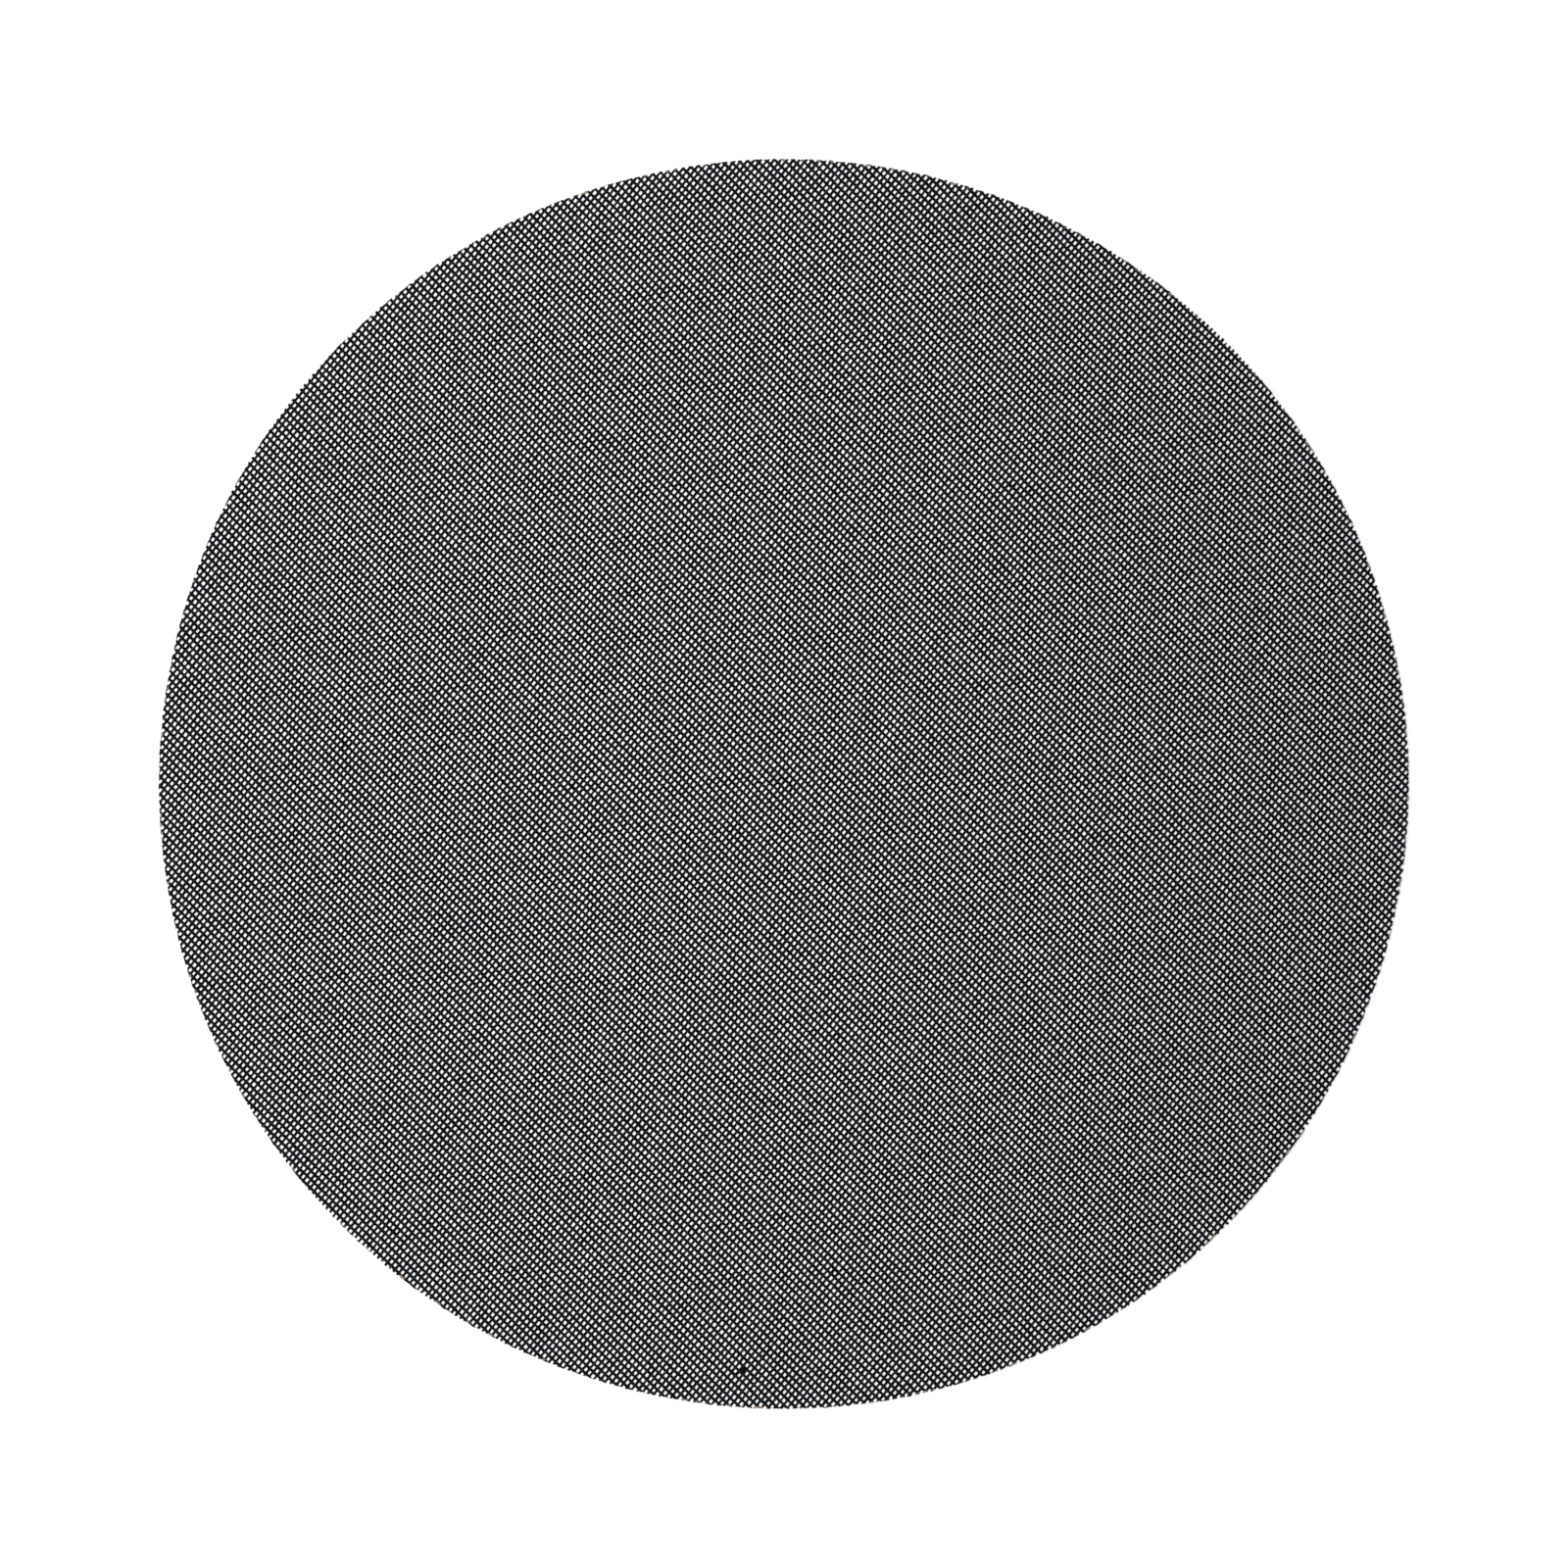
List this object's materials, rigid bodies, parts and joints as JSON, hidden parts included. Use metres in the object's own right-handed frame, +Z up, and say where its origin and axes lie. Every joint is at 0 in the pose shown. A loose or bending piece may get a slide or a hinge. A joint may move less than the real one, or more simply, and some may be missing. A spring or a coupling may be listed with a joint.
{
  "type": "mesh sanding disc",
  "caption": "Flat round abrasive mesh with no centre hole: crossed grit-coated strands with open cells between them, cut off plainly at the rim.",
  "frame": {"origin": "on the floor under the disc's centre", "axes": "+X along the warp strands, +Z up out of the pad face, which is the disc's thickness direction"},
  "size_m": [0.4059, 0.406, 0.001],
  "materials": {
    "grit_mesh": "resin-bonded silicon carbide grit on open glass mesh, charcoal black, dry and matt"
  },
  "bodies": {
    "root": {"sanding_mesh": "grit_mesh"}
  },
  "joints": []
}
